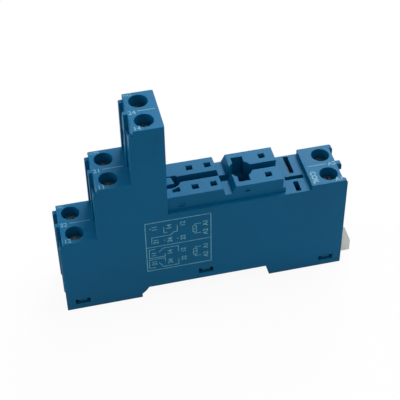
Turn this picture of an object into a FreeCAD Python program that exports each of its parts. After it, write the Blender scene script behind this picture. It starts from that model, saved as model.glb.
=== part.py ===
"""Relay socket for a 35 mm rail, with box clamp screw terminals.

Millimetres. The origin lies on the rail seat plane, midway along the housing and midway across
its thickness. +X runs along the socket towards the coil terminals, +Y goes through its thickness
to the back face, and +Z points away from the rail.
"""
import FreeCAD, Part
import Sketcher
import math
import os
import re

# Driving sizes in millimetres. Heights are above the rail seat plane, and cuts run past the faces
# they open by cut_over.
SIZES = {
    "cut_over": 0.1,
    # housing outline
    "body_length": 78.7,
    "body_width": 15.0,
    "foot_depth": 2.0,
    "low_block": 10.2,
    "mid_block": 10.1,
    "high_block": 9.1,
    "coil_block": 10.0,
    "low_top": 24.0,
    "mid_top": 41.3,
    "high_top": 58.7,
    "coil_top": 29.9,
    "deck_top": 28.4,
    "side_wall": 1.0,
    "centre_web": 2.4,
    # ribs on the terminal ends
    "rib_depth": 1.1,
    "rib_drop": 1.7,
    "rib_thickness": 1.3,
    "rib_corner": 0.4,
    "coil_corner": 1.0,
    "tower_corner": 0.5,
    "pocket_height": 4.9,
    "face_recess": 0.45,
    "nub_reach": 0.35,
    "nub_drop": 0.4,
    "nub_height": 2.0,
    "nub_width": 1.8,
    # rail recess and rail
    "rail_width": 35.0,
    "rail_play": 0.1,
    "recess_height": 1.6,
    "recess_left": 16.25,
    "recess_right": 17.25,
    "foot_left": 18.25,
    "foot_right": 18.3,
    "shoulder_out": 17.05,
    "shoulder_height": 0.4,
    "shoulder_foot": 0.7,
    # relay seat
    "seat_top": 33.4,
    "seat_setback": 1.0,
    "seat_length": 31.5,
    "end_stop_length": 0.7,
    "end_stop_height": 1.8,
    "end_stop_width": 2.4,
    "seat_gap_start": 15.0,
    "seat_gap_top": 3.6,
    "seat_gap_floor": 1.8,
    "seat_gap_slope": 0.7,
    "seat_gap_depth": 2.3,
    "groove_width": 2.3,
    "groove_depth": 5.0,
    "key_well_diameter": 6.0,
    "key_well_start": 1.9,
    "key_well_back": 1.6,
    "key_well_flat": 3.85,
    "key_well_depth": 3.0,
    "key_tongue": 2.5,
    "key_tongue_slant": 0.5,
    "key_tongue_front": 1.4,
    "key_rim": 0.4,
    "key_slant": 0.75,
    "key_hole_reach": 1.2,
    "fixing_start": 21.35,
    "fixing_head_diameter": 6.2,
    "fixing_head_depth": 21.4,
    "fixing_slot_width": 3.15,
    "fixing_slot_length": 9.6,
    "fixing_slot_depth": 6.0,
    "fixing_bore_diameter": 3.4,
    "catch_start": 21.7,
    "catch_width": 1.7,
    "catch_height": 1.0,
    "catch_drop": 2.4,
    "catch_depth": 0.4,
    "dimple_start": 3.8,
    "dimple_drop": 3.0,
    "dimple_diameter": 2.0,
    "dimple_depth": 0.3,
    # relay pins
    "pin_start": 3.1,
    "pin_pitch": 5.0,
    "coil_pitch": 15.0,
    "pin_row_pitch": 7.5,
    "pin_hole": 1.5,
    "pin_mouth": 1.8,
    "pin_mouth_depth": 0.5,
    "seat_roof": 1.2,
    "seat_inner_wall": 1.0,
    "pin_room": 3.2,
    # slots in the deck beside the coil terminals
    "module_slot_start": 35.2,
    "module_slot_width": 1.35,
    "module_slot_back_inner": 0.35,
    "module_slot_back_outer": 7.0,
    "module_slot_front_inner": 3.1,
    "module_slot_front_outer": 6.85,
    "key_slot_start": 33.4,
    "key_slot_length": 5.15,
    "key_slot_inner": 0.9,
    "key_slot_width": 1.3,
    "key_slot_depth": 1.8,
    "deck_thickness": 2.4,
    # terminals
    "screw_inset": 4.65,
    "coil_screw_inset": 4.35,
    "well_diameter": 5.0,
    "head_sink": 2.6,
    "head_height": 1.6,
    "head_diameter": 4.3,
    "shank_diameter": 2.9,
    "shank_length": 4.4,
    "collar": 0.6,
    "head_bevel": 0.3,
    "tip_gap": 0.05,
    "drive_slot": 0.8,
    "drive_slot_depth": 0.8,
    "drive_cross": 2.8,
    "drive_cross_depth": 1.1,
    "thread_clearance": 0.05,
    "bar_thickness": 0.8,
    "bar_width": 3.2,
    "bar_overhang": 2.2,
    "bar_leg_offset": 2.65,
    "wire_space": 2.8,
    "clamp_roof": 1.2,
    "clamp_floor": 0.8,
    "clamp_side": 0.75,
    "clamp_width": 5.1,
    "clamp_length": 4.6,
    "clamp_lift_gap": 0.1,
    "clamp_end_play": 0.1,
    "wire_entry": 3.8,
    # bar runs under the relay seat
    "mid_run_top": 19.5,
    "high_run_top": 23.5,
    "tab_room": 0.25,
    "tab_inset": 0.1,
    "tab_drop": 1.8,
    # pin contacts
    "fork_height": 5.5,
    "fork_leaf": 0.4,
    "fork_width": 2.4,
    "fork_narrow": 1.5,
    "fork_base": 0.5,
    "fork_gap": 1.2,
    "fork_pinch": 0.45,
    "fork_mouth": 1.9,
    # base cover
    "cover_plate": 1.2,
    "cover_foot_plate": 1.4,
    "cover_gap": 0.1,
    "end_wall": 1.35,
    "foot_wall": 1.3,
    "hook_lip": 0.9,
    "hook_reach": 1.2,
    "rail_pad_width": 9.6,
    "seat_pad_left": 4.95,
    "seat_pad_right": 3.85,
    "seat_pad_ramp": 0.5,
    "window_width": 4.1,
    "window_height": 1.9,
    "window_inset": 4.5,
    "window_lift": 1.85,
    "latch_width": 2.4,
    "latch_arm": 0.9,
    "latch_reach": 0.55,
    "latch_rise": 0.6,
    "latch_play": 0.05,
    # rail clip
    "clip_width": 7.6,
    "clip_play": 0.1,
    "clip_height": 3.3,
    "clip_floor": 0.1,
    "clip_reach": 1.1,
    "clip_nose_ramp": 0.4,
    "clip_tab_gap": 0.3,
    "clip_tab_out": 4.1,
    "clip_tab_height": 9.8,
    "clip_tab_top": 1.9,
    "clip_tab_shoulder": 4.8,
    "clip_tab_slant": 0.35,
    "clip_tab_bevel": 1.0,
    "clip_ledge": 0.6,
    "clip_ledge_height": 1.1,
    "clip_arm": 0.6,
    "clip_arm_root": 1.6,
    "clip_arm_tip": 0.95,
    "clip_arm_length": 13.0,
    "clip_slot_reach": 2.7,
    "clip_cross_slot": 1.0,
    "clip_end_bar": 2.9,
    "peg_radius": 1.2,
    "peg_offset": 4.0,
}

doc = FreeCAD.newDocument("relay_socket")
sheet = doc.addObject("Spreadsheet::Sheet", "sizes")
for row, (name, size) in enumerate(SIZES.items(), start=1):
    sheet.set("A%d" % row, name)
    sheet.set("B%d" % row, str(size))
    sheet.setAlias("B%d" % row, name)
doc.recompute()

WORD = re.compile(r"[a-z_]+[a-z]")


def cells(text):
    """A formula with each size written as a cell of the sheet."""
    return WORD.sub(lambda word: "sizes." + word.group() if word.group() in SIZES else word.group(), text)


def add(*terms):
    return " + ".join("(%s)" % term for term in terms)


def less(first, *rest):
    return "(%s)" % first + "".join(" - (%s)" % term for term in rest)


def minus(term):
    return "-(%s)" % term


def number(text):
    """The present value of a formula."""
    return float(sheet.evalExpression(cells(text)))


# Sketches, pads and pockets whose sizes are formulas of the sheet

def new_body(label):
    body = doc.addObject("PartDesign::Body", label)
    body.Label = label
    return body


def new_sketch(body, name, plane, offset):
    """A sketch on one of the body's own planes. XZ offsets run towards +Y, XY to +Z, YZ to +X."""
    sketch = body.newObject("Sketcher::SketchObject", name)
    role = plane + "_Plane"
    support = [feature for feature in body.Origin.OriginFeatures if feature.Role == role][0]
    sketch.AttachmentSupport = [(support, "")]
    sketch.MapMode = "FlatFace"
    if offset is not None:
        along = minus(offset) if plane == "XZ" else offset
        sketch.setExpression("AttachmentOffset.Base.z", cells(along))
    return sketch


def hold(sketch, geometry, point, across, up, guess):
    """Ties a point of the sketch to its two formulas."""
    for kind, text, start in (("DistanceX", across, guess[0]), ("DistanceY", up, guess[1])):
        if text is not None:
            made = sketch.addConstraint(Sketcher.Constraint(kind, -1, 1, geometry, point, start))
            sketch.setExpression("Constraints[%d]" % made, cells(text))


def outline(sketch, points):
    """A closed outline of straight lines through points given as pairs of formulas."""
    first = sketch.GeometryCount
    count = len(points)
    turn = 2 * math.pi / count
    guess = [(9 * math.cos(turn * i) + 20, 9 * math.sin(turn * i) + 20) for i in range(count)]
    for i in range(count):
        start = FreeCAD.Vector(*guess[i], 0)
        end = FreeCAD.Vector(*guess[(i + 1) % count], 0)
        sketch.addGeometry(Part.LineSegment(start, end))
    for i in range(count):
        sketch.addConstraint(Sketcher.Constraint("Coincident", first + i, 2, first + (i + 1) % count, 1))
    for i, (across, up) in enumerate(points):
        hold(sketch, first + i, 1, across, up, guess[i])


def rectangle(low_x, high_x, low_y, high_y):
    return [(low_x, low_y), (high_x, low_y), (high_x, high_y), (low_x, high_y)]


def circle(sketch, across, up, diameter):
    centre = FreeCAD.Vector(20, 20, 0)
    geometry = sketch.addGeometry(Part.Circle(centre, FreeCAD.Vector(0, 0, 1), 3))
    hold(sketch, geometry, 3, across, up, (20, 20))
    made = sketch.addConstraint(Sketcher.Constraint("Diameter", geometry, 6))
    sketch.setExpression("Constraints[%d]" % made, cells(diameter))


def feature(body, kind, name, sketch, length, side="One side", reverse=False):
    made = body.newObject("PartDesign::" + kind, name)
    made.Profile = sketch
    made.SideType = side
    made.Reversed = reverse
    made.setExpression("Length", cells(length))
    sketch.Visibility = False
    return made


def slab(body, kind, name, points, width, middle=None):
    """A pad or pocket of a side outline, width wide across Y about its middle."""
    sketch = new_sketch(body, name + "_outline", "XZ", middle)
    outline(sketch, points)
    return feature(body, kind, name, sketch, width, side="Symmetric")


def plan_pocket(body, name, loops, level, depth):
    """A pocket of plan outlines, going down from a level."""
    sketch = new_sketch(body, name + "_plan", "XY", level)
    for loop in loops:
        outline(sketch, loop)
    return feature(body, "Pocket", name, sketch, depth)


def bore(body, name, centres, diameter, level, depth):
    """Round pockets going down from a level."""
    sketch = new_sketch(body, name + "_circles", "XY", level)
    for across, up in centres:
        circle(sketch, across, up, diameter)
    return feature(body, "Pocket", name, sketch, depth)


def rounding(body, name, place, radius):
    """Rounds the straight edges whose middle lies at a place. None leaves a coordinate free."""
    doc.recompute()
    base = body.Tip
    wanted = [None if text is None else number(text) for text in place]
    edges = []
    for i, edge in enumerate(base.Shape.Edges, start=1):
        if all(w is None or abs(w - m) < 0.01 for w, m in zip(wanted, edge.CenterOfMass)):
            edges.append("Edge%d" % i)
    made = body.newObject("PartDesign::Fillet", name)
    made.Base = (base, edges)
    made.setExpression("Radius", cells(radius))
    base.Visibility = False


# Where things lie

LEFT = "-body_length / 2"
RIGHT = "body_length / 2"
FLOOR = "-foot_depth"
LOW_END = add(LEFT, "low_block")
MID_END = add(LOW_END, "mid_block")
HIGH_END = add(MID_END, "high_block")
COIL_START = less(RIGHT, "coil_block")
SEAT_END = add(HIGH_END, "seat_length")
ROW = "(body_width / 2 - side_wall + centre_web / 2) / 2"
ROOM = "body_width / 2 - side_wall - centre_web / 2"
ROWS = (("front", minus(ROW)), ("back", ROW))
CEILING = "head_sink + head_height + collar"

COVER_TOP = "recess_height + cover_plate"
COVER_FOOT_TOP = "-foot_depth + cover_foot_plate"
PIN_FOOT = "seat_top - seat_roof - fork_height"
PIN_NO = add(HIGH_END, "pin_start")
PIN_COMMON = add(PIN_NO, "pin_pitch")
PIN_NC = add(PIN_COMMON, "pin_pitch")
PIN_COIL = add(PIN_NC, "coil_pitch")
MODULE_X = add(HIGH_END, "module_slot_start")

# Each block of terminals: its end face, the way that face looks, its top, its lowest visible
# end face, its screw, and the numbers of its front and back terminals
BLOCKS = {
    "low": dict(end=LEFT, out=-1, top="low_top", base=FLOOR, inset="screw_inset", marks=("12", "22"),
                pin=PIN_NC),
    "mid": dict(end=LOW_END, out=-1, top="mid_top", base="low_top", inset="screw_inset",
                marks=("11", "21"), pin=PIN_COMMON),
    "high": dict(end=MID_END, out=-1, top="high_top", base="mid_top", inset="screw_inset",
                 marks=("14", "24"), pin=PIN_NO),
    "coil": dict(end=RIGHT, out=1, top="coil_top", base=FLOOR, inset="coil_screw_inset",
                 marks=("A1", "A2"), pin=PIN_COIL),
}


def inward(block, distance):
    """A place that lies a distance in from the block's end face."""
    return add(block["end"], distance) if block["out"] < 0 else less(block["end"], distance)


def screw_at(block):
    return inward(block, block["inset"])


def bar_top(block):
    return less(block["top"], "head_sink", "head_height", "shank_length", "tip_gap")


# Housing: one blue moulding, open below
housing = new_body("housing")

side_outline = [(LEFT, FLOOR)]
for name in ("low", "mid", "high"):
    block = BLOCKS[name]
    side_outline += [
        (block["end"], less(block["top"], "rib_drop")),
        (inward(block, "rib_depth"), less(block["top"], "rib_drop")),
        (inward(block, "rib_depth"), block["top"]),
    ]
    following = {"low": LOW_END, "mid": MID_END, "high": HIGH_END}[name]
    side_outline.append((following, block["top"]))
side_outline += [
    (HIGH_END, "deck_top"),
    (COIL_START, "deck_top"),
    (COIL_START, "coil_top"),
    (RIGHT, "coil_top"),
    (RIGHT, FLOOR),
    ("foot_right", FLOOR),
    ("recess_right", "recess_height"),
    (minus("recess_left"), "recess_height"),
    (minus("shoulder_out"), "shoulder_height"),
    (minus("foot_left"), minus("shoulder_foot")),
    (minus("foot_left"), FLOOR),
]
slab(housing, "Pad", "side_form", side_outline, "body_width")
for name in ("low", "mid", "high"):
    block = BLOCKS[name]
    rounding(housing, name + "_rib_corner", (block["end"], None, less(block["top"], "rib_drop")), "rib_corner")
rounding(housing, "coil_end_corner", (RIGHT, None, "coil_top"), "coil_corner")
rounding(housing, "tower_edges", (HIGH_END, None, "(deck_top + high_top) / 2"), "tower_corner")

# The raised relay seat, set back from both faces, with a cross gap between its two parts
GAP_START = add(HIGH_END, "seat_gap_start")
GAP_FLOOR = less("seat_top", "seat_gap_depth")
seat_outline = [
    (HIGH_END, "deck_top"),
    (HIGH_END, "seat_top"),
    (GAP_START, "seat_top"),
    (add(GAP_START, "seat_gap_slope"), GAP_FLOOR),
    (add(GAP_START, "seat_gap_slope", "seat_gap_floor"), GAP_FLOOR),
    (add(GAP_START, "seat_gap_top"), "seat_top"),
    (SEAT_END, "seat_top"),
    (SEAT_END, "deck_top"),
]
slab(housing, "Pad", "relay_seat", seat_outline, "body_width - 2 * seat_setback")
end_stop = rectangle(SEAT_END, add(SEAT_END, "end_stop_length"), "deck_top", "deck_top + end_stop_height")
for side, sign in (("front", "-1"), ("back", "1")):
    middle = sign + " * (body_width / 2 - seat_setback - end_stop_width / 2)"
    slab(housing, "Pad", side + "_end_stop", end_stop, "end_stop_width", middle)

# Ribs on the four terminal ends: the middle one rises to the top, and pockets lie between them
POCKET = "(body_width - 3 * rib_thickness) / 2"
for name, block in BLOCKS.items():
    rib = rectangle(block["end"], inward(block, "rib_depth"), less(block["top"], "rib_drop"), block["top"])
    slab(housing, "Pad", name + "_middle_rib", rib, "rib_thickness")
    floor = less(block["top"], "pocket_height")
    pocket = [
        (block["end"], block["base"]),
        (block["end"], block["top"]),
        (inward(block, "rib_depth"), block["top"]),
        (inward(block, "rib_depth"), floor),
        (inward(block, "face_recess"), floor),
        (inward(block, "face_recess"), block["base"]),
    ]
    for side, sign in (("front", "-1"), ("back", "1")):
        middle = "%s * (%s + rib_thickness) / 2" % (sign, POCKET)
        slab(housing, "Pocket", "%s_%s_end_pocket" % (name, side), pocket, POCKET, middle)
nub = rectangle(RIGHT, add(RIGHT, "nub_reach"), less("coil_top", "nub_height"), "coil_top - nub_drop")
slab(housing, "Pad", "end_nub", nub, "nub_width")

# Screw wells, each with a collar that the screw's head rests on
SHANK_BORE = "shank_diameter + 2 * thread_clearance"
for name, block in BLOCKS.items():
    centres = [(screw_at(block), middle) for side, middle in ROWS]
    bore(housing, name + "_screw_wells", centres, "well_diameter", block["top"], "head_sink + head_height")
    bore(housing, name + "_collar_bores", centres, SHANK_BORE, block["top"], add(CEILING, "cut_over"))

# Opening below for the base cover, between the outer walls
COVER_LEFT = add(LEFT, "face_recess", "end_wall")
COVER_RIGHT = less(RIGHT, "face_recess", "end_wall")
FOOT_INNER = less(minus("foot_left"), "foot_wall")
cover_bay = [
    (COVER_LEFT, less(FLOOR, "cut_over")),
    (COVER_LEFT, COVER_FOOT_TOP),
    (FOOT_INNER, COVER_FOOT_TOP),
    (FOOT_INNER, COVER_TOP),
    (COVER_RIGHT, COVER_TOP),
    (COVER_RIGHT, less(FLOOR, "cut_over")),
]
slab(housing, "Pocket", "cover_bay", cover_bay, "body_width - 2 * side_wall")

# Rooms for the clamps and bars, one on each side of the centre web
CLAMP_HALF = "clamp_length / 2 + clamp_end_play"
LEG_OUT = "bar_leg_offset + bar_thickness"
SEAT_CEILING = less("seat_top", "groove_depth", "1")


def left_room():
    low, mid, high = (BLOCKS[name] for name in ("low", "mid", "high"))
    return [
        (less(screw_at(low), CLAMP_HALF), COVER_FOOT_TOP),
        (less(screw_at(low), CLAMP_HALF), less("low_top", CEILING)),
        (add(screw_at(low), CLAMP_HALF), less("low_top", CEILING)),
        (add(screw_at(low), CLAMP_HALF), bar_top(low)),
        (less(screw_at(mid), CLAMP_HALF), bar_top(low)),
        (less(screw_at(mid), CLAMP_HALF), less("mid_top", CEILING)),
        (add(screw_at(mid), LEG_OUT), less("mid_top", CEILING)),
        (add(screw_at(mid), LEG_OUT), "mid_run_top"),
        (less(screw_at(high), CLAMP_HALF), "mid_run_top"),
        (less(screw_at(high), CLAMP_HALF), less("high_top", CEILING)),
        (add(screw_at(high), LEG_OUT), less("high_top", CEILING)),
        (add(screw_at(high), LEG_OUT), SEAT_CEILING),
        (add(PIN_NC, "pin_room / 2"), SEAT_CEILING),
        (add(PIN_NC, "pin_room / 2"), less(COVER_TOP, "0.1")),
        (FOOT_INNER, less(COVER_TOP, "0.1")),
        (FOOT_INNER, COVER_FOOT_TOP),
    ]


def right_room():
    coil = BLOCKS["coil"]
    under_deck = "deck_top - deck_thickness"
    return [
        (less(PIN_COIL, "pin_room / 2"), less(COVER_TOP, "0.1")),
        (less(PIN_COIL, "pin_room / 2"), under_deck),
        (add(PIN_COIL, "pin_room / 2"), under_deck),
        (add(PIN_COIL, "pin_room / 2"), bar_top(coil)),
        (less(MODULE_X, "tab_room"), bar_top(coil)),
        (less(MODULE_X, "tab_room"), under_deck),
        (add(MODULE_X, "module_slot_width", "tab_room"), under_deck),
        (add(MODULE_X, "module_slot_width", "tab_room"), bar_top(coil)),
        (less(screw_at(coil), CLAMP_HALF), bar_top(coil)),
        (less(screw_at(coil), CLAMP_HALF), less("coil_top", CEILING)),
        (add(screw_at(coil), CLAMP_HALF), less("coil_top", CEILING)),
        (add(screw_at(coil), CLAMP_HALF), less(COVER_TOP, "0.1")),
    ]


for side, middle in ROWS:
    slab(housing, "Pocket", side + "_contact_room", left_room(), ROOM, middle)
    slab(housing, "Pocket", side + "_coil_room", right_room(), ROOM, middle)

# Wire entries in the end faces
for name, block in BLOCKS.items():
    sketch = new_sketch(housing, name + "_entry_circles", "YZ", block["end"])
    level = less(bar_top(block), "bar_thickness", "wire_space / 2")
    for side, middle in ROWS:
        circle(sketch, middle, level, "wire_entry")
    feature(housing, "Pocket", name + "_wire_entries", sketch, block["inset"], reverse=block["out"] < 0)

# Groove along the centre web of the seat
TONGUE_END = add(HIGH_END, "key_tongue")
groove = rectangle(add(TONGUE_END, "key_tongue_slant"), add(SEAT_END, "cut_over"), "-groove_width / 2",
                   "groove_width / 2")
plan_pocket(housing, "seat_groove", [groove], "seat_top", "groove_depth")

# Key well at the left end of the groove: a pocket with a round front, flat at the back and against
# the high block, round a tongue that the block sends into it
KEY_X = add(HIGH_END, "key_well_start")
KEY_RADIUS = "key_well_diameter / 2"
key_plan = new_sketch(housing, "key_well_plan", "XY", "seat_top")
key_corners = [
    (KEY_X, minus(KEY_RADIUS)),
    (HIGH_END, minus(KEY_RADIUS)),
    (HIGH_END, "-key_tongue_front"),
    (add(TONGUE_END, "key_tongue_slant"), "-key_tongue_front"),
    (TONGUE_END, "groove_width / 2"),
    (HIGH_END, "groove_width / 2"),
    (HIGH_END, "key_well_back"),
    (add(HIGH_END, "key_well_flat"), "key_well_back"),
    (add(KEY_X, KEY_RADIUS), "0"),
]
key_points = [FreeCAD.Vector(number(across), number(up), 0) for across, up in key_corners]
for point, following in zip(key_points, key_points[1:]):
    key_plan.addGeometry(Part.LineSegment(point, following))
last = len(key_points) - 2
for line in range(last):
    key_plan.addConstraint(Sketcher.Constraint("Coincident", line, 2, line + 1, 1))
for line, (across, up) in enumerate(key_corners[:-1]):
    hold(key_plan, line, 1, across, up, key_points[line])
hold(key_plan, last, 2, *key_corners[-1], key_points[-1])
key_round = Part.Circle(FreeCAD.Vector(number(KEY_X), 0, 0), FreeCAD.Vector(0, 0, 1), number(KEY_RADIUS))
arc = key_plan.addGeometry(Part.ArcOfCircle(key_round, -math.pi / 2, 0))
key_plan.addConstraint(Sketcher.Constraint("Coincident", arc, 1, 0, 1))
key_plan.addConstraint(Sketcher.Constraint("Coincident", arc, 2, last, 2))
radius = key_plan.addConstraint(Sketcher.Constraint("Radius", arc, number(KEY_RADIUS)))
key_plan.setExpression("Constraints[%d]" % radius, cells(KEY_RADIUS))
feature(housing, "Pocket", "key_well", key_plan, "key_well_depth")

# Pin holes and the rooms below them for the pin contacts
PIN_Y = "pin_row_pitch / 2"
ROOM_INNER = "groove_width / 2 + seat_inner_wall"
KEY_CLEAR = "key_well_diameter / 2 + key_rim"
ROOM_OUTER = "body_width / 2 - seat_setback - side_wall"
PIN_ROOM_TOP = "seat_top - seat_roof"
PIN_ROOM_DEPTH = less(PIN_ROOM_TOP, "deck_top - deck_thickness - 0.1")
pins = {"no": PIN_NO, "common": PIN_COMMON, "nc": PIN_NC, "coil": PIN_COIL}
for sign in ("-1", "1"):
    rooms = []
    for name, pin in pins.items():
        inner = KEY_CLEAR if name == "no" else ROOM_INNER
        edges = [sign + " * (" + text + ")" for text in (inner, ROOM_OUTER)]
        rooms.append(rectangle(less(pin, "pin_room / 2"), add(pin, "pin_room / 2"), *edges))
    side = "front" if sign == "-1" else "back"
    plan_pocket(housing, side + "_pin_rooms", rooms, PIN_ROOM_TOP, PIN_ROOM_DEPTH)


def square_about(pin, middle, size):
    return rectangle(less(pin, size + " / 2"), add(pin, size + " / 2"), less(middle, size + " / 2"),
                     add(middle, size + " / 2"))


holes = [square_about(pin, sign + PIN_Y, "pin_hole") for sign in ("-", "") for name, pin in pins.items()
         if name != "no"]
plan_pocket(housing, "pin_holes", holes, "seat_top", "seat_roof + cut_over")
mouths = [square_about(pin, sign + PIN_Y, "pin_mouth") for sign in ("-", "") for name, pin in pins.items()
          if name != "no"]
funnels = plan_pocket(housing, "pin_hole_mouths", mouths, "seat_top", "pin_mouth_depth")
funnels.setExpression("TaperAngle", cells("-atan((pin_mouth - pin_hole) / 2 / pin_mouth_depth)"))

# The hole beside the key well keeps clear of its rim, so its inner edge slants
no_hole = [
    (less(PIN_NO, "key_hole_reach"), less(minus(PIN_Y), "pin_mouth / 2")),
    (add(PIN_NO, "pin_mouth / 2"), less(minus(PIN_Y), "pin_mouth / 2")),
    (add(PIN_NO, "pin_mouth / 2"), add(minus(PIN_Y), "pin_mouth / 2")),
    (less(PIN_NO, "key_hole_reach"), add(minus(PIN_Y), "pin_mouth / 2 - key_slant")),
]
plan_pocket(housing, "slanted_pin_hole", [no_hole], "seat_top", "seat_roof + cut_over")

# Fixing hole for panel mounting: a screw bore under a wide well, crossed by a slot
FIXING_X = add(HIGH_END, "fixing_start")
bore(housing, "fixing_head_well", [(FIXING_X, "0")], "fixing_head_diameter", "seat_top", "fixing_head_depth")
bore(housing, "fixing_bore", [(FIXING_X, "0")], "fixing_bore_diameter", "seat_top", "seat_top + foot_depth")
cross_slot = rectangle(less(FIXING_X, "fixing_slot_width / 2"), add(FIXING_X, "fixing_slot_width / 2"),
                       "-fixing_slot_length / 2", "fixing_slot_length / 2")
plan_pocket(housing, "fixing_cross_slot", [cross_slot], "seat_top", "fixing_slot_depth")

# Slots in the deck for a plug-in module, and its blind keying slot
module_end = add(MODULE_X, "module_slot_width")
module_slots = [
    rectangle(MODULE_X, module_end, "module_slot_back_inner", "module_slot_back_outer"),
    rectangle(MODULE_X, module_end, "-module_slot_front_outer", "-module_slot_front_inner"),
]
plan_pocket(housing, "module_slots", module_slots, "deck_top", "deck_thickness + cut_over")
key_slot_x = add(HIGH_END, "key_slot_start")
key_slot = rectangle(key_slot_x, add(key_slot_x, "key_slot_length"), "-key_slot_inner - key_slot_width",
                     "-key_slot_inner")
plan_pocket(housing, "module_key_slot", [key_slot], "deck_top", "key_slot_depth")

# Snap windows near the feet and in the middle, and small marks in the seat walls
MIDDLE_LATCH = "0"
LATCHES = (
    ("left", add(LEFT, "window_inset"), FLOOR),
    ("middle", MIDDLE_LATCH, "recess_height"),
    ("right", less(RIGHT, "window_inset"), FLOOR),
)
WALL_MIDDLE = "(body_width / 2 - side_wall / 2)"
for name, centre, base in LATCHES:
    low = add(base, "window_lift")
    window = rectangle(less(centre, "window_width / 2"), add(centre, "window_width / 2"),
                       low, add(low, "window_height"))
    for side, sign in (("front", "-1"), ("back", "1")):
        middle = sign + " * " + WALL_MIDDLE
        slab(housing, "Pocket", "%s_%s_window" % (name, side), window, "side_wall", middle)
SEAT_FACE = "(body_width / 2 - seat_setback)"
CLIP_NOTCH = add(HIGH_END, "catch_start")
catch = [
    (less(CLIP_NOTCH, "catch_width / 2"), "seat_top - catch_drop"),
    (add(CLIP_NOTCH, "catch_width / 2"), "seat_top - catch_drop"),
    (CLIP_NOTCH, "seat_top - catch_drop + catch_height"),
]
for side, sign in (("front", "-1"), ("back", "1")):
    slab(housing, "Pocket", side + "_relay_catch", catch, "2 * catch_depth", sign + " * " + SEAT_FACE)
    dimple = new_sketch(housing, side + "_dimple_circle", "XZ", sign + " * " + SEAT_FACE)
    circle(dimple, add(HIGH_END, "dimple_start"), "seat_top - dimple_drop", "dimple_diameter")
    feature(housing, "Pocket", side + "_dimple", dimple, "2 * dimple_depth", side="Symmetric")

# Way out for the rail clip through the right foot's end wall
clip_way = rectangle(less(COVER_RIGHT, "cut_over"), add(RIGHT, "cut_over"), less(FLOOR, "cut_over"),
                     add(FLOOR, "clip_height", "clip_play"))
slab(housing, "Pocket", "clip_way", clip_way, "clip_width + 2 * clip_play")

# Base cover: one moulding that closes the housing, seats on the rail, holds the fixed hook and
# guides the clip
cover = new_body("base_cover")
CLIP_ROOF = add(FLOOR, "clip_height", "clip_play")
HOOK_WALL = minus("(rail_width / 2 + rail_play)")
cover_outline = [
    (add(COVER_LEFT, "cover_gap"), FLOOR),
    (minus("foot_left"), FLOOR),
    (minus("foot_left"), "recess_height"),
    ("rail_width / 2 + rail_play", "recess_height"),
    ("rail_width / 2 + rail_play", CLIP_ROOF),
    (less(COVER_RIGHT, "cover_gap"), CLIP_ROOF),
    (less(COVER_RIGHT, "cover_gap"), COVER_TOP),
    (add(FOOT_INNER, "cover_gap"), COVER_TOP),
    (add(FOOT_INNER, "cover_gap"), COVER_FOOT_TOP),
    (add(COVER_LEFT, "cover_gap"), COVER_FOOT_TOP),
]
slab(cover, "Pad", "cover_form", cover_outline, "body_width - 2 * side_wall - 2 * cover_gap")
rail_pads = [
    (minus("foot_left + cut_over"), FLOOR),
    (add(HOOK_WALL, "hook_reach"), FLOOR),
    (add(HOOK_WALL, "hook_reach"), add(FLOOR, "hook_lip")),
    (HOOK_WALL, add(FLOOR, "hook_lip")),
    (HOOK_WALL, "0"),
    (minus("rail_width / 2 - seat_pad_left"), "0"),
    (minus("rail_width / 2 - seat_pad_left - seat_pad_ramp"), "recess_height"),
    ("rail_width / 2 - seat_pad_right - seat_pad_ramp", "recess_height"),
    ("rail_width / 2 - seat_pad_right", "0"),
    ("rail_width / 2 + rail_play", "0"),
    ("rail_width / 2 + rail_play", "recess_height + cut_over"),
    (minus("foot_left + cut_over"), "recess_height + cut_over"),
]
slab(cover, "Pad", "rail_pads", rail_pads, "rail_pad_width")
CHEEK_OUTER = "(body_width / 2 - side_wall - cover_gap)"
CHEEK_INNER = "(clip_width / 2 + clip_play)"
CHEEK_START = "(foot_right + cover_gap)"
cheek = rectangle(CHEEK_START, less(COVER_RIGHT, "cover_gap"), FLOOR, CLIP_ROOF)
ledge = rectangle(CHEEK_START, less(COVER_RIGHT, "cover_gap"), FLOOR,
                  add(FLOOR, "clip_ledge_height"))
for side, sign in (("front", "-1"), ("back", "1")):
    middle = "%s * (%s + %s) / 2" % (sign, CHEEK_OUTER, CHEEK_INNER)
    slab(cover, "Pad", side + "_clip_cheek", cheek, less(CHEEK_OUTER, CHEEK_INNER), middle)
    middle = "%s * (%s - clip_ledge / 2)" % (sign, CHEEK_INNER)
    slab(cover, "Pad", side + "_clip_ledge", ledge, "clip_ledge", middle)
    for name, centre, base in LATCHES:
        sill = add(base, "window_lift")
        bottom = {"left": FLOOR, "middle": "recess_height", "right": FLOOR}[name]
        arm = rectangle(less(centre, "latch_width / 2"), add(centre, "latch_width / 2"), bottom,
                        add(sill, "window_height - latch_play"))
        middle = "%s * (%s - latch_arm / 2)" % (sign, CHEEK_OUTER)
        slab(cover, "Pad", "%s_%s_latch_arm" % (name, side), arm, "latch_arm", middle)
        hook = rectangle(less(centre, "latch_width / 2"), add(centre, "latch_width / 2"),
                         add(sill, "latch_rise"), add(sill, "window_height - latch_play"))
        middle = "%s * (%s + (cover_gap + latch_reach) / 2)" % (sign, CHEEK_OUTER)
        slab(cover, "Pad", "%s_%s_latch_hook" % (name, side), hook, "cover_gap + latch_reach", middle)
PEG_X = less(COVER_RIGHT, "cover_gap", "clip_end_bar", "peg_offset")
peg = new_sketch(cover, "spring_peg_circle", "XY", add(FLOOR, "clip_floor", "clip_play"))
circle(peg, PEG_X, "0", "2 * peg_radius")
feature(cover, "Pad", "spring_peg", peg, add("clip_height", "-clip_floor", "cut_over"))
bore(cover, "cover_fixing_bore", [(FIXING_X, "0")], "fixing_bore_diameter", add(COVER_TOP, "cut_over"),
     "cover_plate + recess_height + 2 * cut_over")

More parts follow.
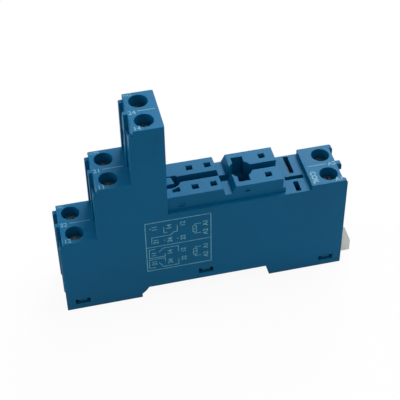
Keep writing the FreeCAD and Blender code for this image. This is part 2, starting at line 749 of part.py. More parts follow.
# Rail clip: a sliding foot with a nose under the rail, two spring arms round the peg, and a tab
clip = new_body("rail_clip")
NOSE = less("rail_width / 2", "clip_reach")
SHOULDER = "rail_width / 2 + rail_play"
CLIP_BOTTOM = add(FLOOR, "clip_floor")
CLIP_TOP = add(FLOOR, "clip_height")
TAB_IN = add(RIGHT, "clip_tab_gap")
TAB_OUT = add(RIGHT, "clip_tab_out")
clip_outline = [
    (add(NOSE, "clip_nose_ramp"), CLIP_BOTTOM),
    (NOSE, add(CLIP_BOTTOM, "clip_nose_ramp")),
    (NOSE, add(FLOOR, "hook_lip")),
    (SHOULDER, add(FLOOR, "hook_lip")),
    (SHOULDER, CLIP_TOP),
    (TAB_IN, CLIP_TOP),
    (TAB_IN, add(FLOOR, "clip_tab_height")),
    (add(TAB_IN, "clip_tab_top - clip_tab_gap"), add(FLOOR, "clip_tab_height")),
    (less(TAB_OUT, "clip_tab_slant"), add(FLOOR, "clip_tab_shoulder")),
    (TAB_OUT, add(FLOOR, "clip_tab_shoulder - clip_tab_bevel")),
    (TAB_OUT, CLIP_BOTTOM),
]
slab(clip, "Pad", "clip_form", clip_outline, "clip_width")
for side, sign in (("front", "-1"), ("back", "1")):
    rebate = rectangle(less(SHOULDER, "2"), less(TAB_IN, "0.05"), less(FLOOR, "0.1"),
                       add(FLOOR, "clip_ledge_height"))
    middle = "%s * (clip_width / 2 - clip_ledge / 2 + 0.05)" % sign
    slab(clip, "Pocket", side + "_clip_rebate", rebate, "clip_ledge + clip_play + 0.1", middle)
ARM_ROOT = less(COVER_RIGHT, "cover_gap", "clip_end_bar")
ARM_TIP = less(ARM_ROOT, "clip_arm_length")
between = [
    (ARM_TIP, "-clip_arm_tip"),
    (ARM_ROOT, "-clip_arm_root"),
    (ARM_ROOT, "clip_arm_root"),
    (ARM_TIP, "clip_arm_tip"),
    (ARM_TIP, "clip_slot_reach"),
    (less(ARM_TIP, "clip_cross_slot"), "clip_slot_reach"),
    (less(ARM_TIP, "clip_cross_slot"), "-clip_slot_reach"),
    (ARM_TIP, "-clip_slot_reach"),
]
plan_pocket(clip, "spring_window", [between], CLIP_TOP, "clip_height")
for side, sign in (("front", "-1"), ("back", "1")):
    outside = [
        (less(ARM_TIP, "0.05"), sign + " * (clip_arm_tip + clip_arm)"),
        (ARM_ROOT, sign + " * (clip_arm_root + clip_arm)"),
        (ARM_ROOT, sign + " * clip_slot_reach"),
        (less(ARM_TIP, "0.05"), sign + " * clip_slot_reach"),
    ]
    plan_pocket(clip, side + "_arm_slot", [outside], CLIP_TOP, "clip_height")

made = [housing, cover, clip]


def place(body, across, along, up):
    for axis, text in zip("xyz", (across, along, up)):
        body.setExpression("Placement.Base." + axis, cells(text))


def terminal_screw(label):
    """A cheese head screw about its own axis, the top of the head at height zero."""
    body = new_body(label)
    sketch = new_sketch(body, label + "_profile", "XZ", None)
    head, shank = "head_diameter / 2", "shank_diameter / 2"
    tip = "-head_height - shank_length"
    outline(sketch, [
        ("0", "0"),
        (less(head, "head_bevel"), "0"),
        (head, "-head_bevel"),
        (head, "-head_height"),
        (shank, "-head_height"),
        (shank, tip),
        ("0", tip),
    ])
    turned = body.newObject("PartDesign::Revolution", label + "_turned")
    turned.Profile = sketch
    turned.ReferenceAxis = (sketch, ["V_Axis"])
    turned.Angle = 360
    slot = rectangle("-head_diameter", "head_diameter", "-drive_slot / 2", "drive_slot / 2")
    plan_pocket(body, label + "_slot", [slot], "0", "drive_slot_depth")
    cross = [
        ("-drive_slot / 2", "-drive_cross / 2"), ("drive_slot / 2", "-drive_cross / 2"),
        ("drive_slot / 2", "-drive_slot / 2"), ("drive_cross / 2", "-drive_slot / 2"),
        ("drive_cross / 2", "drive_slot / 2"), ("drive_slot / 2", "drive_slot / 2"),
        ("drive_slot / 2", "drive_cross / 2"), ("-drive_slot / 2", "drive_cross / 2"),
        ("-drive_slot / 2", "drive_slot / 2"), ("-drive_cross / 2", "drive_slot / 2"),
        ("-drive_cross / 2", "-drive_slot / 2"), ("-drive_slot / 2", "-drive_slot / 2"),
    ]
    plan_pocket(body, label + "_cross", [cross], "0", "drive_cross_depth")
    return body


def box_clamp(label):
    """A folded steel cage about the screw's axis, the top of the bar at height zero."""
    body = new_body(label)
    sketch = new_sketch(body, label + "_section", "YZ", None)
    floor = "-bar_thickness - wire_space"
    outline(sketch, rectangle("-clamp_width / 2", "clamp_width / 2", less(floor, "clamp_floor"),
                              "clamp_lift_gap + clamp_roof"))
    inner = "(clamp_width / 2 - clamp_side)"
    outline(sketch, rectangle(minus(inner), inner, floor, "clamp_lift_gap"))
    feature(body, "Pad", label + "_cage", sketch, "clamp_length", side="Symmetric")
    bore(body, label + "_thread", [("0", "0")], SHANK_BORE, "clamp_lift_gap + clamp_roof", "clamp_roof + cut_over")
    return body


def bar_outline(name, block):
    """The side outline of a bent brass bar from its clamp to its pin."""
    top = bar_top(block)
    under = less(top, "bar_thickness")
    near, far = less(block["pin"], "bar_thickness / 2"), add(block["pin"], "bar_thickness / 2")
    if name == "low":
        start = less(screw_at(block), "bar_overhang")
        return [(start, under), (far, under), (far, PIN_FOOT), (near, PIN_FOOT), (near, top), (start, top)]
    if name == "coil":
        start = add(screw_at(block), "bar_overhang")
        return [(start, under), (near, under), (near, PIN_FOOT), (far, PIN_FOOT), (far, top), (start, top)]
    start = less(screw_at(block), "bar_overhang")
    leg = add(screw_at(block), "bar_leg_offset")
    run = {"mid": "mid_run_top", "high": "high_run_top"}[name]
    run_under = less(run, "bar_thickness")
    return [
        (start, top), (add(leg, "bar_thickness"), top), (add(leg, "bar_thickness"), run), (near, run),
        (near, PIN_FOOT), (far, PIN_FOOT), (far, run_under), (leg, run_under), (leg, under), (start, under),
    ]


def fork_outline(pin):
    """The side outline of a pin contact: two leaves that pinch in below a flared mouth."""
    gap, pinch, mouth = "fork_gap / 2", "fork_pinch / 2", "fork_mouth / 2"
    waist = add(PIN_FOOT, "fork_height * 0.8")
    knee = add(PIN_FOOT, "fork_height * 0.5")
    top = add(PIN_FOOT, "fork_height")
    right = [
        (add(gap, "fork_leaf"), PIN_FOOT), (add(gap, "fork_leaf"), knee), (add(pinch, "fork_leaf"), waist),
        (add(mouth, "fork_leaf"), top), (mouth, top), (pinch, waist), (gap, knee),
        (gap, add(PIN_FOOT, "fork_base")),
    ]
    left = [(minus(across), up) for across, up in reversed(right)]
    return [(add(pin, across), up) for across, up in right + left]


for name, block in BLOCKS.items():
    for mark, (side, middle) in zip(block["marks"], ROWS):
        sign = "-1" if side == "front" else "1"
        screw = terminal_screw("terminal_screw_" + mark)
        place(screw, screw_at(block), middle, less(block["top"], "head_sink"))
        clamp = box_clamp("box_clamp_" + mark)
        place(clamp, screw_at(block), middle, bar_top(block))
        bar = new_body("contact_bar_" + mark)
        slab(bar, "Pad", "bar_%s_form" % mark, bar_outline(name, block), "bar_width", middle)
        if mark == "A2":
            tab = rectangle(add(MODULE_X, "tab_inset"), add(MODULE_X, "tab_inset + bar_thickness"),
                            less(bar_top(block), "cut_over"), "deck_top - tab_drop")
            slab(bar, "Pad", "bar_%s_module_tab" % mark, tab, "bar_width", middle)
        fork = new_body("pin_contact_" + mark)
        width = "fork_narrow" if name == "high" else "fork_width"
        if name == "high":
            centre = "%s * (%s + 0.05 + fork_narrow / 2)" % (sign, KEY_CLEAR)
        else:
            centre = "%s * %s" % (sign, PIN_Y)
        slab(fork, "Pad", "fork_%s_form" % mark, fork_outline(block["pin"]), width, centre)
        made += [screw, clamp, bar, fork]

doc.recompute()
for item in doc.Objects:
    if "Invalid" in item.State or "Error" in item.State:
        raise RuntimeError("%s was not made: %s" % (item.Name, item.State))
for body in made:
    if body.Shape.isNull() or not body.Shape.isValid() or len(body.Shape.Solids) != 1:
        raise RuntimeError("%s has no single valid solid" % body.Label)

os.makedirs("parts", exist_ok=True)
for body in made:
    body.Shape.exportStep("parts/%s.step" % body.Label)
    print("%-20s %8.1f mm3" % (body.Label, body.Shape.Volume))
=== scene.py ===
import math

import bmesh
import bpy
from mathutils import Matrix, Vector


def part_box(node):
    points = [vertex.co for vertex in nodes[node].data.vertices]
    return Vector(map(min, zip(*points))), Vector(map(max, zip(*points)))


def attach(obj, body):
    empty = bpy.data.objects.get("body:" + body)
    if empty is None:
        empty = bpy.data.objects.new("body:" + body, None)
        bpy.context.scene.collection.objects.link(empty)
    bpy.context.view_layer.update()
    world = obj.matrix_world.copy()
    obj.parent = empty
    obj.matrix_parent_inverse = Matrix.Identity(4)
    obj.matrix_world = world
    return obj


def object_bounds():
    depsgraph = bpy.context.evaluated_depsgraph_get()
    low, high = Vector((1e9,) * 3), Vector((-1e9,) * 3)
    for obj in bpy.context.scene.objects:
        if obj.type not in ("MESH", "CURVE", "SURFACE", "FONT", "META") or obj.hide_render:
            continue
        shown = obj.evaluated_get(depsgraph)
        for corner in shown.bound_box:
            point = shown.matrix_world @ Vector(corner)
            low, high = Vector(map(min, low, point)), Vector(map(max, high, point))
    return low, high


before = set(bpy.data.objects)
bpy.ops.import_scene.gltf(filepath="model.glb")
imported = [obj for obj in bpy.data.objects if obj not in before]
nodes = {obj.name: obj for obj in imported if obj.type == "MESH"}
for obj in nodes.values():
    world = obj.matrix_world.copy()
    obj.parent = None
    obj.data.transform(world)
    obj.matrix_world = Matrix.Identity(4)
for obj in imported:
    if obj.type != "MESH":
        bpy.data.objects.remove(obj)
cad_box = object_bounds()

MM = 0.001
scene = bpy.context.scene
scene.view_settings.view_transform = "Standard"

# The view. The socket stands on its feet on a white table and is seen from the front, a little from
# the left and from well above. The camera's place and lens come from the housing's own corners.
azimuth, elevation, roll = (math.radians(angle) for angle in (-12.42, 44.18, -0.98))
backward = Vector((
    math.sin(azimuth) * math.cos(elevation),
    -math.cos(azimuth) * math.cos(elevation),
    math.sin(elevation),
))
level = (-backward).cross(Vector((0, 0, 1))).normalized()
upright = level.cross(-backward)
rightward = level * math.cos(roll) + upright * math.sin(roll)
upward = upright * math.cos(roll) - level * math.sin(roll)
watched = Vector((0.65, 0.5, 18.0)) * MM
stand = watched + (313.62 * backward - 0.38 * rightward + 4.19 * upward) * MM

camera = bpy.data.objects.new("camera", bpy.data.cameras.new("camera"))
camera.data.lens = 102.62
camera.data.sensor_width = 36
camera.data.clip_start = 0.01
camera.matrix_world = Matrix((rightward, upward, backward)).transposed().to_4x4()
camera.location = stand
scene.collection.objects.link(camera)
scene.camera = camera


# The table and the light. A white table top under four soft lamps: a near one behind and to the right
# lights the tops of the tall steps, a high one on the right the other tops, and two weak ones on the
# left and in front fill the shaded faces.
def join(tree, source, target):
    """Links two sockets, each given as a node and the name or number of its socket."""
    tree.links.new(source[0].outputs[source[1]], target[0].inputs[target[1]])


def new_material(name):
    material = bpy.data.materials.new(name)
    material.use_nodes = True
    return material, material.node_tree, material.node_tree.nodes["Principled BSDF"]


def looked_at(tree):
    """A node that gives 1 where the camera, a reflection or a clear part looks, and 0 for light."""
    path = tree.nodes.new("ShaderNodeLightPath")
    gathered = (path, "Is Camera Ray")
    for ray in ("Is Glossy Ray", "Is Transmission Ray"):
        either = tree.nodes.new("ShaderNodeMath")
        either.operation = "MAXIMUM"
        join(tree, gathered, (either, 0))
        join(tree, (path, ray), (either, 1))
        gathered = (either, 0)
    return either


TABLE = 3.0
TABLE_GAP = 0.02 * MM
TABLE_WHITE = 0.60
TABLE_GLOW_SHARE = 0.93
bpy.ops.mesh.primitive_plane_add(size=TABLE, location=(0, 0, cad_box[0][2] - TABLE_GAP))
table = bpy.context.object
table.name = "table"
table_paint, tree, shader = new_material("table_white")
shader.inputs["Base Color"].default_value = (TABLE_WHITE, TABLE_WHITE, TABLE_WHITE, 1)
shader.inputs["Roughness"].default_value = 0.9
shader.inputs["Specular IOR Level"].default_value = 0.1
glow = tree.nodes.new("ShaderNodeEmission")
glow.inputs["Strength"].default_value = 1.0
share = tree.nodes.new("ShaderNodeMath")
share.operation = "MULTIPLY"
share.inputs[1].default_value = TABLE_GLOW_SHARE
blend = tree.nodes.new("ShaderNodeMixShader")
join(tree, (looked_at(tree), 0), (share, 0))
join(tree, (share, 0), (blend, 0))
join(tree, (shader, 0), (blend, 1))
join(tree, (glow, 0), (blend, 2))
join(tree, (blend, 0), (tree.nodes["Material Output"], "Surface"))
table.data.materials.append(table_paint)

ROOM_LIGHT, ROOM_SEEN = 0.4, 1.0
world = bpy.data.worlds.new("studio")
scene.world = world
world.use_nodes = True
tree = world.node_tree
sky = tree.nodes["Background"]
sky.inputs["Color"].default_value = (1, 1, 1, 1)
sky_level = tree.nodes.new("ShaderNodeMapRange")
sky_level.inputs["To Min"].default_value = ROOM_LIGHT
sky_level.inputs["To Max"].default_value = ROOM_SEEN
join(tree, (looked_at(tree), 0), (sky_level, "Value"))
join(tree, (sky_level, 0), (sky, "Strength"))


def lamp(name, place, size, power):
    light = bpy.data.lights.new(name, "AREA")
    light.shape = "DISK"
    light.size = size
    light.energy = power
    thing = bpy.data.objects.new(name, light)
    thing.location = place
    toward = watched - Vector(place)
    thing.rotation_euler = toward.to_track_quat("-Z", "Y").to_euler()
    scene.collection.objects.link(thing)


lamp("back_lamp", (0.234, 0.48, 0.406), 0.33, 3.2)
lamp("right_lamp", (0.45, 0.12, 0.90), 0.55, 6.1)
lamp("left_lamp", (-0.55, 0.08, 0.30), 0.6, 2.2)
lamp("front_lamp", (0.10, -0.95, 0.90), 1.0, 2.2)

# The housing: one injection moulding in glossy blue plastic, with three steps of terminals, the raised
# relay seat and the coil terminals. The mould's spark eroded walls leave a fine grain, and the edges
# are a little round and rubbed pale.
HOUSING_BLUE = (0.001, 0.097, 0.214, 1)
RUBBED_BLUE = (0.03, 0.20, 0.31, 1)
SHEEN_TINT = (0.85, 1.0, 1.0, 1)


def new_group(name, inputs, outputs):
    """An empty shader group with its own sockets, and its inner input and output nodes."""
    group = bpy.data.node_groups.new(name, "ShaderNodeTree")
    for socket, kind, value in inputs:
        made = group.interface.new_socket(socket, in_out="INPUT", socket_type=kind)
        made.default_value = value
    for socket, kind in outputs:
        group.interface.new_socket(socket, in_out="OUTPUT", socket_type=kind)
    return group, group.nodes.new("NodeGroupInput"), group.nodes.new("NodeGroupOutput")


def node(tree, kind, **settings):
    made = tree.nodes.new("ShaderNode" + kind)
    for name, value in settings.items():
        setattr(made, name, value)
    return made


# Edge wear: how much the surface is a rounded corner, and the normal of the round. A corner starts
# where the two normals' cosine falls below the first value and is full at the second.
CORNER_START, CORNER_FULL = 0.995, 0.80
RUB_SCALE = 900
worn_edge, given, result = new_group(
    "worn_edge",
    [("Radius", "NodeSocketFloat", 0.2 * MM), ("Wear", "NodeSocketFloat", 1.0)],
    [("Mask", "NodeSocketFloat"), ("Normal", "NodeSocketVector")],
)
rounded = node(worn_edge, "Bevel", samples=6)
flat = node(worn_edge, "NewGeometry")
likeness = node(worn_edge, "VectorMath", operation="DOT_PRODUCT")
corner = node(worn_edge, "MapRange")
corner.inputs["From Min"].default_value = CORNER_START
corner.inputs["From Max"].default_value = CORNER_FULL
rub = node(worn_edge, "TexNoise")
rub.inputs["Scale"].default_value = RUB_SCALE
patchy = node(worn_edge, "MapRange")
patchy.inputs["From Min"].default_value = 0.35
patchy.inputs["From Max"].default_value = 0.65
kept = node(worn_edge, "Math", operation="MULTIPLY")
scaled = node(worn_edge, "Math", operation="MULTIPLY")
place = node(worn_edge, "TexCoord")
join(worn_edge, (given, "Radius"), (rounded, "Radius"))
join(worn_edge, (rounded, 0), (likeness, 0))
join(worn_edge, (flat, "True Normal"), (likeness, 1))
join(worn_edge, (likeness, "Value"), (corner, "Value"))
join(worn_edge, (place, "Object"), (rub, "Vector"))
join(worn_edge, (rub, 0), (patchy, "Value"))
join(worn_edge, (corner, 0), (kept, 0))
join(worn_edge, (patchy, 0), (kept, 1))
join(worn_edge, (kept, 0), (scaled, 0))
join(worn_edge, (given, "Wear"), (scaled, 1))
join(worn_edge, (scaled, 0), (result, "Mask"))
join(worn_edge, (rounded, 0), (result, "Normal"))

# Mould grain: a fine even pitting, with slow changes of tone and of shine
PIT_SCALE, FLOW_SCALE = 5200, 46
mould_grain, given, result = new_group(
    "mould_grain",
    [("Size", "NodeSocketFloat", 1.0)],
    [("Height", "NodeSocketFloat"), ("Tone", "NodeSocketFloat")],
)
place = node(mould_grain, "TexCoord")
stretch = node(mould_grain, "VectorMath", operation="SCALE")
pits = node(mould_grain, "TexVoronoi", feature="SMOOTH_F1")
pits.inputs["Scale"].default_value = PIT_SCALE
flow = node(mould_grain, "TexNoise")
flow.inputs["Scale"].default_value = FLOW_SCALE
flow.inputs["Detail"].default_value = 3
join(mould_grain, (place, "Object"), (stretch, 0))
join(mould_grain, (given, "Size"), (stretch, "Scale"))
join(mould_grain, (stretch, 0), (pits, "Vector"))
join(mould_grain, (place, "Object"), (flow, "Vector"))
join(mould_grain, (pits, "Distance"), (result, "Height"))
join(mould_grain, (flow, 0), (result, "Tone"))


WORN_RADIUS = 0.18 * MM
DARKER, LIGHTER = 0.82, 1.12


def moulded_plastic(name, colour, rubbed, tint, gloss, shine, pitting, wear):
    """A moulded plastic. shine is its roughness, pitting the depth of its grain in millimetres."""
    material, tree, shader = new_material(name)
    edge = node(tree, "Group", node_tree=worn_edge)
    edge.inputs["Radius"].default_value = WORN_RADIUS
    edge.inputs["Wear"].default_value = wear
    grain = node(tree, "Group", node_tree=mould_grain)
    tone = node(tree, "Mix", data_type="RGBA", blend_type="MIX")
    darker = [DARKER * part for part in colour[:3]] + [1]
    lighter = [LIGHTER * part for part in colour[:3]] + [1]
    tone.inputs["A"].default_value = darker
    tone.inputs["B"].default_value = lighter
    paint = node(tree, "Mix", data_type="RGBA")
    paint.inputs["B"].default_value = rubbed
    polish = node(tree, "MapRange")
    polish.inputs["To Min"].default_value = shine - 0.05
    polish.inputs["To Max"].default_value = shine + 0.06
    bump = node(tree, "Bump")
    bump.inputs["Strength"].default_value = 0.35
    bump.inputs["Distance"].default_value = pitting * MM
    join(tree, (grain, "Tone"), (tone, "Factor"))
    tree.links.new(tone.outputs["Result"], paint.inputs["A"])
    join(tree, (edge, "Mask"), (paint, "Factor"))
    tree.links.new(paint.outputs["Result"], shader.inputs["Base Color"])
    join(tree, (grain, "Tone"), (polish, "Value"))
    join(tree, (polish, 0), (shader, "Roughness"))
    join(tree, (grain, "Height"), (bump, "Height"))
    join(tree, (edge, "Normal"), (bump, "Normal"))
    join(tree, (bump, 0), (shader, "Normal"))
    shader.inputs["Specular IOR Level"].default_value = gloss
    shader.inputs["Specular Tint"].default_value = tint
    return material


def wear_material(names, material):
    for name in names:
        slots = nodes[name].data.materials
        slots.clear()
        slots.append(material)


housing_plastic = moulded_plastic(
    "housing_plastic", HOUSING_BLUE, RUBBED_BLUE, SHEEN_TINT, 0.08, 0.42, 0.02, 0.5
)
wear_material(["housing"], housing_plastic)

# The print on the housing: pale pad printed marks, a hair proud of the plastic. Each terminal has its
# number, a line parts the two screws of each step, and the front carries a wiring diagram.
INK_THICKNESS = 0.03 * MM
INK_SINK = 0.01 * MM
STROKE = 0.20
FRAME_STROKE = 0.23
DOT = 0.34
FONT_PER_HEIGHT = 1.38
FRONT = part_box("housing")[0][1] / MM
marks = bmesh.new()


def on_plane(origin, across, up):
    """The matrix that lays drawings in millimetres on a plane, with their thickness outwards."""
    across, up = Vector(across), Vector(up)
    outward = across.cross(up)
    turn = Matrix((across, up, outward)).transposed().to_4x4()
    return Matrix.Translation(Vector(origin) * MM - outward * INK_SINK) @ turn


def letters(words, height, at, sheet, weight=0.035):
    """Words as thin solid letters, centred at a place of the sheet."""
    curve = bpy.data.curves.new("letters", "FONT")
    curve.body = words
    curve.size = height * FONT_PER_HEIGHT * MM
    curve.align_x = "CENTER"
    curve.align_y = "CENTER"
    curve.resolution_u = 3
    curve.extrude = INK_THICKNESS / 2
    curve.offset = weight * MM
    text = bpy.data.objects.new("letters", curve)
    scene.collection.objects.link(text)
    bpy.context.view_layer.update()
    mesh = bpy.data.meshes.new_from_object(text.evaluated_get(bpy.context.evaluated_depsgraph_get()))
    shift = Matrix.Translation((at[0] * MM, at[1] * MM, INK_THICKNESS / 2))
    mesh.transform(sheet @ shift)
    marks.from_mesh(mesh)
    bpy.data.objects.remove(text)
    bpy.data.curves.remove(curve)
    bpy.data.meshes.remove(mesh)


def stroke(points, sheet, width=STROKE):
    """A drawn line through points, with mitred corners and square ends."""
    path = [Vector(point) for point in points]
    closed = path[0] == path[-1]
    if closed:
        path.pop()
    count = len(path)
    sides = []
    for i, point in enumerate(path):
        before = path[i - 1] if closed or i else None
        after = path[(i + 1) % count] if closed or i < count - 1 else None
        lead = (point - before).normalized() if before is not None else (after - point).normalized()
        leave = (after - point).normalized() if after is not None else lead
        bend = (lead + leave).normalized()
        reach = width / 2 / max(0.3, bend.dot(lead))
        across = Vector((-bend.y, bend.x)) * reach
        sides.append((point + across, point - across))
    rings = []
    for left, right in sides:
        ring = [marks.verts.new(sheet @ Vector((p.x * MM, p.y * MM, h)))
                for p, h in ((left, 0), (right, 0), (right, INK_THICKNESS), (left, INK_THICKNESS))]
        rings.append(ring)
    spans = list(zip(rings, rings[1:])) + ([(rings[-1], rings[0])] if closed else [])
    for one, two in spans:
        for k in range(4):
            marks.faces.new((one[k], one[(k + 1) % 4], two[(k + 1) % 4], two[k]))
    if not closed:
        marks.faces.new(rings[0][::-1])
        marks.faces.new(rings[-1])


def printed(name, ink_name, thin_ink, full_ink):
    """Makes the marks drawn so far into one printed piece, with its ink, and clears the drawing."""
    mesh = bpy.data.meshes.new(name)
    bmesh.ops.recalc_face_normals(marks, faces=marks.faces)
    marks.to_mesh(mesh)
    marks.clear()
    piece = bpy.data.objects.new(name, mesh)
    scene.collection.objects.link(piece)
    ink, tree, shader = new_material(ink_name)
    shader.inputs["Roughness"].default_value = 0.6
    patches = node(tree, "TexNoise")
    patches.inputs["Scale"].default_value = 1500
    thin = node(tree, "MapRange")
    thin.inputs["From Min"].default_value = 0.30
    thin.inputs["From Max"].default_value = 0.62
    cover = node(tree, "Mix", data_type="RGBA")
    cover.inputs["A"].default_value = thin_ink
    cover.inputs["B"].default_value = full_ink
    spot = node(tree, "TexCoord")
    join(tree, (spot, "Object"), (patches, "Vector"))
    join(tree, (patches, 0), (thin, "Value"))
    join(tree, (thin, 0), (cover, "Factor"))
    tree.links.new(cover.outputs["Result"], shader.inputs["Base Color"])
    mesh.materials.append(ink)
    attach(piece, "socket")


# Terminal numbers and parting lines on the three steps: left edge, right edge, height, and the words
# beside the front screw, beside the back screw and in the far corner
NUMBER_HEIGHT, USE_HEIGHT = 1.45, 1.0
TOPS = (
    (-38.25, -29.15, 24.0, "12", "22", "NC"),
    (-28.05, -19.05, 41.3, "11", "21", "COM"),
    (-17.95, -9.95, 58.7, "14", "24", "NO"),
)
for low, high, top, front_mark, back_mark, use in TOPS:
    sheet = on_plane((0, 0, top), (1, 0, 0), (0, 1, 0))
    letters(front_mark, NUMBER_HEIGHT, (low + 1.35, -6.5), sheet)
    letters(back_mark, NUMBER_HEIGHT, (low + 1.2, -0.35), sheet)
    letters(use, USE_HEIGHT, (low + 1.3, 6.7), sheet, 0)
    stroke([(low + 2.7, 0.05), (high - 0.9, 0.05)], sheet)

# The coil block's top, with its word read from the coil end
COIL_TOP = 29.9
COIL_NUMBER, COIL_WORD, COIL_WEIGHT = 1.4, 1.5, 0.09
sheet = on_plane((0, 0, COIL_TOP), (1, 0, 0), (0, 1, 0))
letters("A1", COIL_NUMBER, (37.2, -6.5), sheet)
letters("A2", COIL_NUMBER, (37.1, -0.1), sheet)
stroke([(30.4, 0.05), (35.4, 0.05)], sheet)
sheet = on_plane((0, 0, COIL_TOP), (0, -1, 0), (1, 0, 0))
letters("COIL", COIL_WORD, (4.4, 30.8), sheet, COIL_WEIGHT)

printed("top_print", "top_ink", (0.03, 0.15, 0.24, 1), (0.11, 0.27, 0.34, 1))

# The wiring diagram, drawn from its lower left corner. Its numbers read upwards.
DIAGRAM_LEFT, DIAGRAM_FLOOR = -16.4, 8.1
DIAGRAM_WIDTH, DIAGRAM_HEIGHT = 17.85, 18.26
HALF = DIAGRAM_HEIGHT / 2
drawing = on_plane((DIAGRAM_LEFT, FRONT, DIAGRAM_FLOOR), (1, 0, 0), (0, 0, 1))
turned = on_plane((DIAGRAM_LEFT, FRONT, DIAGRAM_FLOOR), (0, 0, 1), (-1, 0, 0))
stroke(
    [(0, 0), (DIAGRAM_WIDTH, 0), (DIAGRAM_WIDTH, DIAGRAM_HEIGHT), (0, DIAGRAM_HEIGHT), (0, 0)],
    drawing, FRAME_STROKE,
)
stroke([(0.1, HALF), (DIAGRAM_WIDTH - 0.1, HALF)], drawing)


def coil_sign(across, up):
    """A relay coil with its two leads and their numbers."""
    left, right = across - 0.5, across + 0.5
    low, high = up - 1.1, up + 1.1
    stroke([(left, low), (right, low), (right, high), (left, high), (left, low)], drawing)
    stroke([(left, up - 0.5), (right, up + 0.5)], drawing)
    for end, lead in ((low, up - 1.75), (high, up + 1.75)):
        stroke([(across, end), (across, lead), (across + 1.7, lead)], drawing)
    letters("A1", 1.35, (up + 1.6, -(across + 3.0)), turned)
    letters("A2", 1.35, (up - 1.75, -(across + 3.0)), turned)


# Upper half: one changeover contact in use, the other one's numbers with a dot
for number, across, up in (("11", 2.5, 16.1), ("14", 6.5, 15.9), ("12", 10.2, 16.2),
                           ("21", 2.8, 11.1), ("24", 6.6, 10.9), ("22", 10.2, 11.0)):
    letters(number, 1.35, (up, -across), turned)
stroke([(5.0, 16.0), (5.0, 13.9), (5.9, 13.9)], drawing)
stroke([(8.65, 16.0), (8.65, 13.7), (7.7, 13.7), (6.8, 12.7), (1.6, 12.7), (1.6, 10.4)], drawing)
for across, up in ((1.3, 16.1), (5.1, 11.1), (8.7, 11.0)):
    stroke([(across, up - DOT / 2), (across, up + DOT / 2)], drawing, DOT)
coil_sign(13.4, 13.5)

# Lower half: both changeover contacts in use
for number, across, up in (("11", 2.05, 6.2), ("14", 6.5, 6.2), ("12", 10.2, 6.1),
                           ("21", 2.1, 2.8), ("24", 6.5, 2.6), ("22", 10.3, 2.9)):
    letters(number, 1.3, (up, -across), turned)
stroke([(2.3, 8.2), (0.75, 8.2), (0.7, 4.9), (5.05, 4.9), (5.05, 5.9)], drawing)
stroke([(2.3, 1.0), (0.6, 1.0), (0.65, 4.25), (5.05, 4.25), (5.05, 2.9)], drawing)
stroke([(8.75, 5.9), (8.75, 8.1), (4.6, 8.15), (3.35, 6.8)], drawing)
stroke([(8.75, 3.1), (8.75, 0.9), (4.5, 0.85), (3.3, 2.7)], drawing)
coil_sign(13.4, 4.65)

printed("front_print", "front_ink", (0.05, 0.23, 0.33, 1), (0.12, 0.35, 0.43, 1))

# The base cover: a plain injection moulding in a slightly darker batch of the housing's blue plastic.
# It closes the housing from below, held by snap hooks in the six small windows at the foot, and carries
# the fixed rail hook and the guide in which the rail clip slides.
COVER_BLUE = (0.003, 0.085, 0.18, 1)
cover_plastic = moulded_plastic("cover_plastic", COVER_BLUE, RUBBED_BLUE, SHEEN_TINT, 0.08, 0.5, 0.03, 0.3)
wear_material(["base_cover"], cover_plastic)

# The rail clip: one moulding of pale grey, slightly greenish plastic with a slanted pull tab at its end.
# It slides in the base cover, where its two slender legs push it towards the rail, and it snaps in
# from the coil end without a screw.
CLIP_GREY = (0.74, 0.76, 0.69, 1)
CLIP_RUBBED = (0.80, 0.82, 0.76, 1)
clip_plastic = moulded_plastic("clip_plastic", CLIP_GREY, CLIP_RUBBED, (1, 1, 1, 1), 0.3, 0.45, 0.02, 0.4)
wear_material(["rail_clip"], clip_plastic)


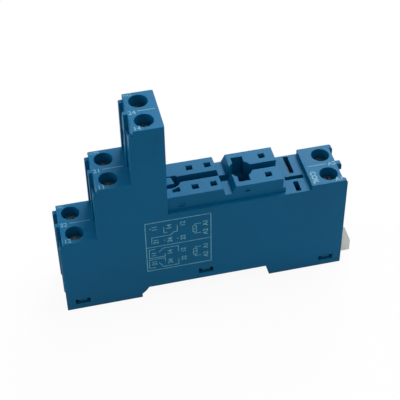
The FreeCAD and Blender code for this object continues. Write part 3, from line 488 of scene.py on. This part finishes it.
# The terminal screws and box clamps: steel with bluish zinc plating. The screws' colour is painted far
# darker than bright zinc, as painted shade of the deep wells they sit in. A screw's head is turned,
# slotted and crossed, with rings from turning and a dull bloom. The screws hang in the wells and draw up
# the clamps, bent cages that press the wire against its bar.
def plated_metal(name, colour, dull, shine, ring_scale):
    material, tree, shader = new_material(name)
    spot = node(tree, "TexCoord")
    rings = node(tree, "TexWave", wave_type="RINGS", rings_direction="Z")
    rings.inputs["Scale"].default_value = ring_scale
    rings.inputs["Distortion"].default_value = 0.6
    centre = node(tree, "VectorMath", operation="SUBTRACT")
    centre.inputs[1].default_value = (0.5, 0.5, 0.5)
    cloud = node(tree, "TexNoise")
    cloud.inputs["Scale"].default_value = 700
    cloud.inputs["Detail"].default_value = 4
    bloom = node(tree, "Mix", data_type="RGBA")
    bloom.inputs["A"].default_value = colour
    bloom.inputs["B"].default_value = dull
    rough = node(tree, "MapRange")
    rough.inputs["To Min"].default_value = shine - 0.08
    rough.inputs["To Max"].default_value = shine + 0.14
    bump = node(tree, "Bump")
    bump.inputs["Strength"].default_value = 0.25
    bump.inputs["Distance"].default_value = 0.01 * MM
    join(tree, (spot, "Generated"), (centre, 0))
    join(tree, (centre, 0), (rings, "Vector"))
    join(tree, (spot, "Object"), (cloud, "Vector"))
    join(tree, (cloud, 0), (bloom, "Factor"))
    tree.links.new(bloom.outputs["Result"], shader.inputs["Base Color"])
    join(tree, (cloud, 0), (rough, "Value"))
    join(tree, (rough, 0), (shader, "Roughness"))
    join(tree, (rings, "Fac"), (bump, "Height"))
    join(tree, (bump, 0), (shader, "Normal"))
    shader.inputs["Metallic"].default_value = 1.0
    return material


TERMINALS = ("11", "12", "14", "21", "22", "24", "A1", "A2")
# Painted shade: the screw colours are darkened to stand in for the shade deep in the wells
screw_steel = plated_metal("screw_steel", (0.28, 0.36, 0.38, 1), (0.12, 0.16, 0.17, 1), 0.22, 9)
wear_material(["terminal_screw_" + mark for mark in TERMINALS], screw_steel)
clamp_steel = plated_metal("clamp_steel", (0.50, 0.50, 0.48, 1), (0.32, 0.31, 0.28, 1), 0.42, 2)
wear_material(["box_clamp_" + mark for mark in TERMINALS], clamp_steel)

# The contact bars and the pin contacts: brass strip, stamped and bent, its colour painted far darker than
# brass as painted shade of the slots it lies in. Each bar runs from a clamp to its pin contact, a small
# fork that grips one relay pin, and both lie in slots of the housing that the base cover closes.
brass = plated_metal("contact_brass", (0.13, 0.095, 0.055, 1), (0.07, 0.05, 0.035, 1), 0.6, 2)
wear_material(["contact_bar_" + mark for mark in TERMINALS], brass)
wear_material(["pin_contact_" + mark for mark in TERMINALS], brass)
